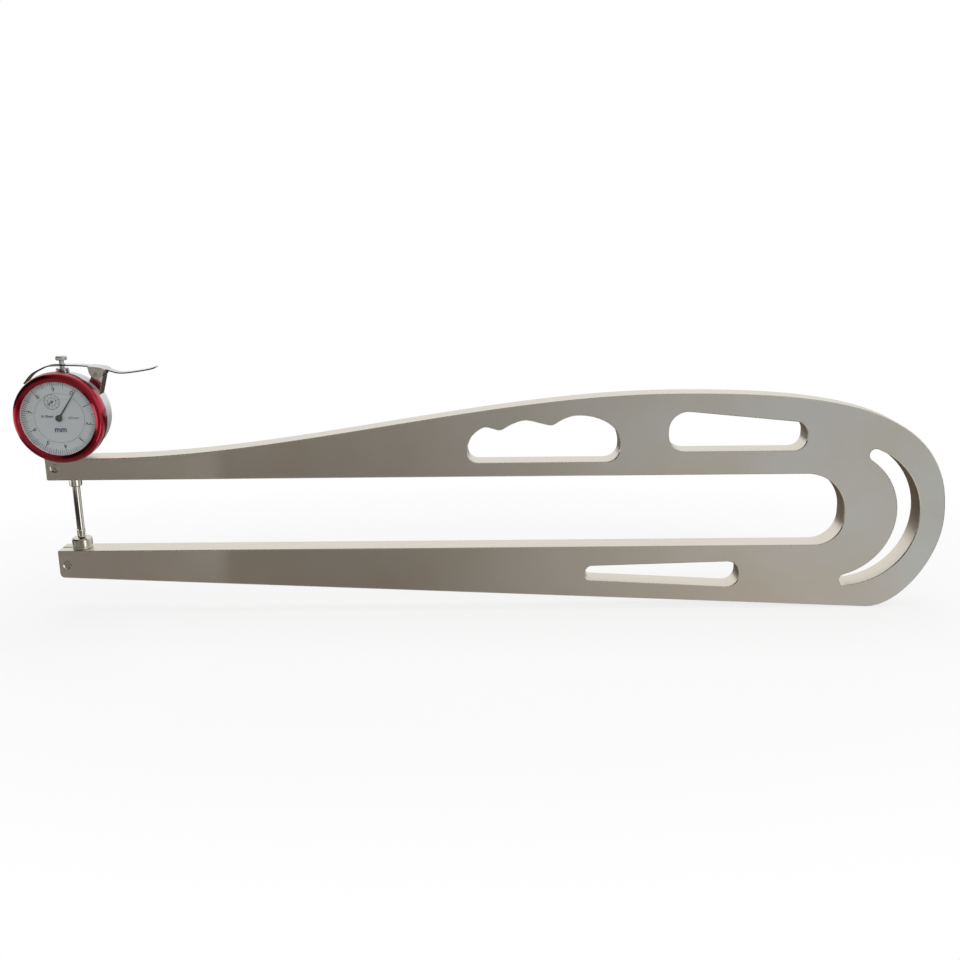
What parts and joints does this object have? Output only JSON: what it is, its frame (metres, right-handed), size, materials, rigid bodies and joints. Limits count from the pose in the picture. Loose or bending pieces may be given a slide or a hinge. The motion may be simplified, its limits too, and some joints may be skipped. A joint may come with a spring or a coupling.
{
  "type": "thickness gauge",
  "caption": "Deep-throat dial thickness gauge: a flat aluminium C-frame with a red-bezel dial indicator, lifting lever and long spindle over a round anvil.",
  "frame": {"origin": "centre of the anvil's measuring face, on the measuring axis", "axes": "+Z away from the anvil along the measuring axis, +X along the throat to its closed end, +Y from the dial to the back"},
  "size_m": [0.594, 0.0255, 0.1712],
  "materials": {
    "frame_aluminium": "bead-blasted, clear anodised",
    "screw_steel": "zinc plated",
    "ground_steel": "hardened and ground",
    "case_silver": "satin silver",
    "stem_steel": "polished",
    "chrome_parts": "bright chrome",
    "brass": "fine turned",
    "spring_steel": "blued",
    "dial_white": "matt enamel",
    "black_paint": "satin black",
    "red_anodised": "glossy red anodised",
    "clear_crystal": "polished acrylic"
  },
  "bodies": {
    "frame": {"frame_plate": "frame_aluminium", "gauge_clamp_screw": "screw_steel", "anvil_clamp_screw": "screw_steel", "anvil": "ground_steel", "gauge_case": "case_silver", "stem": "stem_steel", "top_bush": "chrome_parts", "back_cover": "case_silver", "back_cover_screws": "screw_steel", "main_plate": "brass", "plate_screws": "screw_steel", "movement_pillars": "brass", "movement_bridge": "brass", "bridge_screws": "screw_steel", "rear_cock": "brass", "rear_cock_screws": "screw_steel", "guide_rail": "brass", "spring_post": "screw_steel", "return_spring": "spring_steel", "hairspring": "spring_steel", "hairspring_stud": "brass", "dial_centre_disc": "dial_white", "bezel_snap_ring": "spring_steel", "lever_bracket": "chrome_parts", "bracket_screw": "screw_steel", "lever_pin": "stem_steel"},
    "plunger": {"spindle": "stem_steel", "extension_rod": "stem_steel", "contact_point": "ground_steel", "plunger_cap": "chrome_parts", "guide_pin": "screw_steel"},
    "counter": {"counter_arbor": "stem_steel", "counter_wheel": "brass", "small_hand": "black_paint"},
    "centre": {"centre_arbor": "stem_steel", "main_hand": "black_paint"},
    "hairspring_wheel": {"hairspring_wheel": "brass", "hairspring_arbor": "stem_steel"},
    "bezel": {"bezel": "red_anodised", "crystal": "clear_crystal", "spacer_ring": "case_silver", "dial_ring": "dial_white"},
    "lever": {"lifting_lever": "chrome_parts"}
  },
  "joints": [
    {"name": "plunger_slide", "type": "slide", "parent": "frame", "child": "plunger", "axis": [0, 0, 1], "range_m": [0, 0.01], "stiffness_N_per_m": 60, "springref_m": -0.01, "deforming": ["return_spring"]},
    {"name": "counter_spin", "type": "hinge", "parent": "frame", "child": "counter", "pos_m": [-0.00369, 0, 0.0935], "axis": [0, 1, 0], "range_deg": [-361, 1]},
    {"name": "centre_spin", "type": "hinge", "parent": "frame", "child": "centre", "pos_m": [0, 0, 0.0832], "axis": [0, 1, 0], "range_deg": [-10, 3610]},
    {"name": "hairspring_spin", "type": "hinge", "parent": "frame", "child": "hairspring_wheel", "pos_m": [0.00948, 0, 0.07773], "axis": [0, 1, 0], "range_deg": [-361, 1]},
    {"name": "bezel_turn", "type": "hinge", "parent": "frame", "child": "bezel", "pos_m": [0, 0, 0.0832], "axis": [0, 1, 0], "continuous": true},
    {"name": "lever_lift", "type": "hinge", "parent": "frame", "child": "lever", "pos_m": [0.0225, 0, 0.1092], "axis": [0, 1, 0], "range_deg": [-0.5, 26.5]}
  ],
  "couplings": [
    {"joint": "counter_spin", "follows": "plunger_slide", "rad_per_m": -628.32},
    {"joint": "centre_spin", "follows": "plunger_slide", "rad_per_m": 6283.2},
    {"joint": "hairspring_spin", "follows": "plunger_slide", "rad_per_m": -628.32},
    {"joint": "lever_lift", "follows": "plunger_slide", "rad_per_m": 44.6}
  ]
}
